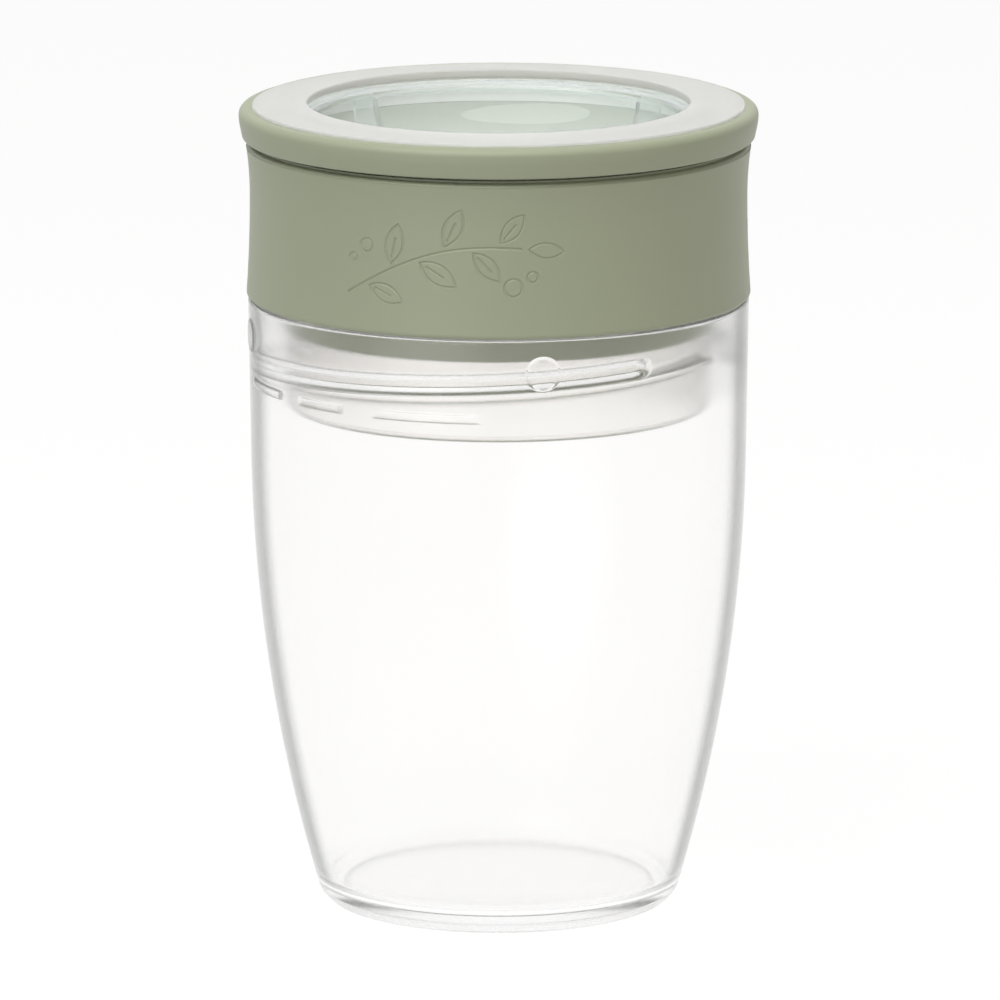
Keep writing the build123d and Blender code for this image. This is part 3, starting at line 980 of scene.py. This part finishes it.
class TRAININGCUP_OT_rim_seal(Operator):
    """Makes the pale angle seal between the collar and the rim"""

    bl_idname = "trainingcup.rim_seal"
    bl_label = "Rim seal"

    def execute(self, context):
        sizes = context.scene.top_sizes
        foot, top = low("rim_seal"), high("rim_seal")
        flange_top = foot + sizes.seal_flange
        inner = context.scene.lid_sizes.seat_radius
        outer = reach("rim_seal") - LIP_INSET
        leg = inner + sizes.seal_leg
        lip_start = outer - sizes.seal_lip_width
        lip_under = flange_top - sizes.seal_lip
        profile = [(inner, foot), (lip_start, foot), (lip_start + sizes.seal_lip, lip_under)]
        profile += [(outer, lip_under), (outer, flange_top), (leg, flange_top), (leg, top), (inner, top)]
        mesh = lathe(profile)
        round_circle(mesh, outer, lip_under, LIP_ROUND, 3)
        round_circle(mesh, outer, flange_top, LIP_ROUND, 3)
        round_circle(mesh, leg, top, 0.2 * MM, 3)
        round_circle(mesh, inner, top, 0.2 * MM, 3)
        piece = finished("pale_rim_seal", mesh)
        place(piece, "rim_seal", seal_finish)
        return {"FINISHED"}


class TRAININGCUP_OT_rim(Operator):
    """Makes the green drinking rim with the lugs that stand inside it"""

    bl_idname = "trainingcup.rim"
    bl_label = "Drinking rim"

    def execute(self, context):
        sizes = context.scene.top_sizes
        foot, top, outer = low("rim_ring"), high("rim_ring"), reach("rim_ring")
        inner = outer - sizes.rim_wall
        ledge = high("rim_seal")
        bore = context.scene.lid_sizes.seat_radius + sizes.seal_leg + 0.1 * MM
        shoulder = top - sizes.shoulder_drop
        profile = [(bore, foot), (sizes.rim_foot_radius, foot)]
        profile += [(outer, shoulder), (outer, top), (inner, top), (inner, ledge), (bore, ledge)]
        mesh = lathe(profile)
        round_circle(mesh, outer, top, sizes.rim_round, 8)
        round_circle(mesh, inner, top, 0.1 * MM, 3)
        round_circle(mesh, outer, shoulder, 0.7 * MM, 4)
        round_circle(mesh, sizes.rim_foot_radius, foot, 0.35 * MM, 4)
        lug_start = context.scene.lid_sizes.seat_radius + 0.3 * MM
        lug_end = (inner + outer) / 2
        size = (lug_end - lug_start, sizes.lug_width, sizes.lug_height)
        for index in range(sizes.lug_count):
            turn = sizes.lug_angle + index * TURN / sizes.lug_count
            matrix = polar(turn, (lug_start + lug_end) / 2, ledge + sizes.lug_height / 2)
            add_box(mesh, matrix, size, 0.25 * MM)
        piece = finished("green_rim", mesh)
        place(piece, "rim_ring", green_plastic)
        return {"FINISHED"}


# The soft ring's press on the rim, its crown's rows and how fast the crown rises
VALVE_PRESS = 0.04 * MM
CROWN_ROWS = 12
CROWN_POWER = 1.5


class TRAININGCUP_OT_valve(Operator):
    """Makes the soft drinking ring with its skirt"""

    bl_idname = "trainingcup.valve"
    bl_label = "Drinking valve"

    def execute(self, context):
        sizes = context.scene.top_sizes
        outer = reach("rim_ring") - sizes.rim_wall + VALVE_PRESS
        foot = low("drinking_valve")
        under = foot + sizes.skirt_depth
        edge_top = under + sizes.valve_thickness
        opening = sizes.opening_radius
        inner_top = edge_top + sizes.valve_crown
        skirt_inner = opening + sizes.flange_width + 0.3 * MM
        skirt_outer = skirt_inner + sizes.skirt_width
        crown = []
        for step in range(1, CROWN_ROWS):
            share = step / CROWN_ROWS
            rise = sizes.valve_crown * math.sin(share * math.pi / 2) ** CROWN_POWER
            crown.append((outer + (opening - outer) * share, edge_top + rise))
        profile = [(opening, under), (skirt_inner, under), (skirt_inner, foot), (skirt_outer, foot)]
        profile += [(skirt_outer, under), (outer, under), (outer, edge_top)]
        profile += crown + [(opening, inner_top)]
        mesh = lathe(profile)
        round_circle(mesh, outer, edge_top, sizes.valve_round)
        round_circle(mesh, opening, inner_top, sizes.valve_round, 5)
        round_circle(mesh, opening, under, 0.3 * MM)
        round_circle(mesh, outer, under, 0.25 * MM)
        round_circle(mesh, skirt_outer, foot, 0.25 * MM)
        round_circle(mesh, skirt_inner, foot, 0.25 * MM)
        piece = finished("frosted_valve", mesh)
        place(piece, "drinking_valve", valve_finish)
        piece.visible_shadow = False
        return {"FINISHED"}


BOWL_STEPS = 30
# Angles down the dish's wall where a fin's root follows it
FIN_ROOT_ANGLES = (10, 30, 50, 66)


class TRAININGCUP_OT_dish(Operator):
    """Makes the clear dish with its flange and guide fins"""

    bl_idname = "trainingcup.dish"
    bl_label = "Clear dish"

    def execute(self, context):
        sizes = context.scene.top_sizes
        lid = context.scene.lid_sizes
        top, under_floor = high("clear_dish") - sizes.pressed_gap, low("clear_dish")
        floor = under_floor + sizes.dish_wall
        flange_under = top - sizes.flange_thickness
        opening = sizes.opening_radius - sizes.dish_lip
        bowl = sizes.bowl_radius
        centre = (opening - bowl, floor + bowl)
        inner_round = quarter_arc(centre, bowl, BOWL_STEPS)
        outer_round = quarter_arc(centre, bowl + sizes.dish_wall, BOWL_STEPS)
        flange_radius = sizes.opening_radius + sizes.flange_width
        profile = [(0, under_floor), (centre[0] * 0.5, under_floor)] + outer_round[:-1]
        profile += [(opening + sizes.dish_wall, flange_under)]
        profile += [(flange_radius, flange_under), (flange_radius, top), (opening, top)]
        profile += list(reversed(inner_round)) + [(centre[0] * 0.5, floor), (0, floor)]
        mesh = lathe(profile)
        round_circle(mesh, flange_radius, top, 0.3 * MM, 3)
        round_circle(mesh, flange_radius, flange_under, 0.3 * MM, 3)
        round_circle(mesh, opening, top, sizes.dish_flare, 8)
        piece = finished("clear_bowl", mesh)
        fins = bmesh.new()
        seat = high("collar")
        fin_top = flange_under - sizes.fin_drop
        half_wall = bowl + sizes.dish_wall / 2
        roots = [
            (centre[0] + half_wall * math.cos(turn), centre[1] - half_wall * math.sin(turn))
            for turn in map(math.radians, FIN_ROOT_ANGLES)
        ]
        outline = roots + [
            (roots[-1][0], floor),
            (bore_radius(lid, floor) - sizes.fin_clearance, floor),
            (lid.seat_radius - sizes.fin_clearance, seat),
            (lid.seat_radius - sizes.fin_clearance, fin_top),
            (roots[0][0], fin_top),
        ]
        for index in range(sizes.fin_count):
            spin = Matrix.Rotation(sizes.fin_angle + index * TURN / sizes.fin_count, 4, "Z")
            corners = [fins.verts.new(spin @ Vector((r, -sizes.fin_thickness / 2, z))) for r, z in outline]
            face = fins.faces.new(corners)
            made = bmesh.ops.extrude_face_region(fins, geom=[face])
            across = spin @ Vector((0, sizes.fin_thickness, 0))
            bmesh.ops.translate(fins, verts=verts_in(made), vec=across)
        bmesh.ops.recalc_face_normals(fins, faces=fins.faces)
        cut_or_join(piece, finished("fin_tool", fins), "UNION")
        piece.data.set_sharp_from_angle(angle=math.radians(35))
        place(piece, "clear_dish", dish_finish)
        piece.visible_shadow = False
        return {"FINISHED"}


# Stage

# Softboxes: name, place, size, power and tint
LAMP_AIM = (0, 0, 0.1)
SOFTBOXES = (
    ("key_softbox", (-0.35, -0.55, 0.95), (0.5, 0.5), 5.5, (0.97, 1.0, 0.96)),
    ("fill_softbox", (0.9, -0.6, 0.5), (0.6, 0.8), 1.05, (1.0, 0.85, 0.6)),
    ("top_softbox", (0.0, -0.15, 1.0), (0.6, 0.5), 5.8, (1.0, 1.0, 1.0)),
)
# Panels that show only as reflections in the dish: place, size, power and roll in degrees
PANEL_AIM = (0, 0, 0.12)
BOWL_PANELS = (
    ((-0.29, -0.52, 0.05), (0.5, 0.06), 0.3, 0),
    ((-0.3, -0.7, 0.8), (1.6, 0.8), 6.0, 17),
)
PAPER_TONE = 0.9
PAPER_GLOW = 1.02
GLOW_SHARE = 0.9
CAMERA_PLACE = (0, -1.4492, 0.3695)
CAMERA_DIP = math.radians(11.96)


def area_light(name, location, aim, size, power, tint=(1, 1, 1)):
    """A rectangular softbox that points at a spot."""
    light = bpy.data.lights.new(name, "AREA")
    light.shape = "RECTANGLE"
    light.size, light.size_y = size
    light.energy = power
    light.color = tint
    lamp = bpy.data.objects.new(name, light)
    lamp.location = location
    lamp.rotation_euler = (Vector(aim) - Vector(location)).to_track_quat("-Z", "Y").to_euler()
    lamp.visible_camera = False
    bpy.context.scene.collection.objects.link(lamp)
    return lamp


def seen_rays(finish):
    """1 for rays that show the background: from the camera, off gloss or through glass."""
    kinds = ("Is Camera Ray", "Is Glossy Ray", "Is Transmission Ray")
    rays = sum(finish.node("ShaderNodeLightPath", output=kind) for kind in kinds)
    return rays.math("MINIMUM", rays, 1.0)


def floor_finish():
    """White paper that stays white to the eye and keeps a faint shadow."""
    finish = Finish("stage_floor")
    paper = finish.node("ShaderNodeBsdfDiffuse", None, {"Color": (PAPER_TONE, PAPER_TONE, PAPER_TONE, 1)})
    glow = finish.node("ShaderNodeEmission", None, {"Color": (1, 1, 1, 1), "Strength": PAPER_GLOW})
    share = GLOW_SHARE * seen_rays(finish)
    return finish.surface(finish.node("ShaderNodeMixShader", None, {"Fac": share, 1: paper, 2: glow}))


def world_finish():
    """A white backdrop for what is seen and a plain soft light on the object."""
    world = bpy.data.worlds.new("studio")
    bpy.context.scene.world = world
    finish = Finish("studio", world)
    light = finish.node("ShaderNodeBackground", None, {"Color": (1.0, 0.985, 0.955, 1), "Strength": 0.27})
    white = finish.node("ShaderNodeBackground", None, {"Color": (1, 1, 1, 1), "Strength": 1.0})
    finish.surface(finish.node("ShaderNodeMixShader", None, {"Fac": seen_rays(finish), 1: light, 2: white}))


class TRAININGCUP_OT_stage(Operator):
    """Makes the floor, the soft lights, the white backdrop and the camera"""

    bl_idname = "trainingcup.stage"
    bl_label = "Stage"

    def execute(self, context):
        for name in ("Cube", "Light", "Camera"):
            if name in bpy.data.objects:
                bpy.data.objects.remove(bpy.data.objects[name])
        sheet = bmesh.new()
        bmesh.ops.create_grid(sheet, x_segments=8, y_segments=8, size=6.0)
        floor = finished("stage_floor", sheet)
        floor.data.materials.append(floor_finish())
        world_finish()
        for name, location, size, power, tint in SOFTBOXES:
            lamp = area_light(name, location, LAMP_AIM, size, power, tint)
            lamp.visible_glossy = False
            lamp.visible_transmission = False
        for location, size, power, roll in BOWL_PANELS:
            panel = area_light("bowl_panel", location, PANEL_AIM, size, power)
            panel.data.shape = "ELLIPSE"
            panel.rotation_euler.rotate_axis("Z", math.radians(roll))
            panel.visible_diffuse = False
            panel.visible_transmission = False
        context.scene.cycles.max_bounces = 32
        context.scene.cycles.glossy_bounces = 16
        context.scene.cycles.transmission_bounces = 32
        camera_data = bpy.data.cameras.new("camera")
        camera_data.sensor_width = 36
        camera_data.lens = 343.6
        camera_data.shift_x = 0.0014
        camera_data.clip_end = 60
        camera = bpy.data.objects.new("camera", camera_data)
        camera.location = CAMERA_PLACE
        camera.rotation_euler = (math.radians(90) - CAMERA_DIP, 0, 0)
        context.scene.collection.objects.link(camera)
        context.scene.camera = camera
        context.scene.view_settings.view_transform = "Standard"
        return {"FINISHED"}


class TRAININGCUP_PT_panel(Panel):
    """Lists the pieces of the training cup."""

    bl_label = "Training cup"
    bl_idname = "TRAININGCUP_PT_panel"
    bl_space_type = "VIEW_3D"
    bl_region_type = "UI"
    bl_category = "Training cup"

    def draw(self, context):
        for operator in OPERATORS:
            self.layout.operator(operator.bl_idname)


GROUPS = {
    "cup_sizes": CupSizes,
    "thread_sizes": ThreadSizes,
    "lid_sizes": LidSizes,
    "top_sizes": TopSizes,
    "cup_colours": CupColours,
}
OPERATORS = (
    TRAININGCUP_OT_stage,
    TRAININGCUP_OT_cup,
    TRAININGCUP_OT_gasket,
    TRAININGCUP_OT_collar,
    TRAININGCUP_OT_sleeve,
    TRAININGCUP_OT_rim_seal,
    TRAININGCUP_OT_rim,
    TRAININGCUP_OT_valve,
    TRAININGCUP_OT_dish,
)


def register():
    for group in GROUPS.values():
        bpy.utils.register_class(group)
    for name, group in GROUPS.items():
        setattr(bpy.types.Scene, name, PointerProperty(type=group))
    for operator in OPERATORS:
        bpy.utils.register_class(operator)
    bpy.utils.register_class(TRAININGCUP_PT_panel)


def unregister():
    bpy.utils.unregister_class(TRAININGCUP_PT_panel)
    for operator in reversed(OPERATORS):
        bpy.utils.unregister_class(operator)
    for name, group in GROUPS.items():
        delattr(bpy.types.Scene, name)
        bpy.utils.unregister_class(group)


def main():
    """Registers the add-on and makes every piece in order."""
    register()
    for operator in OPERATORS:
        group, action = operator.bl_idname.split(".")
        getattr(getattr(bpy.ops, group), action)()


if __name__ == "__main__":
    main()
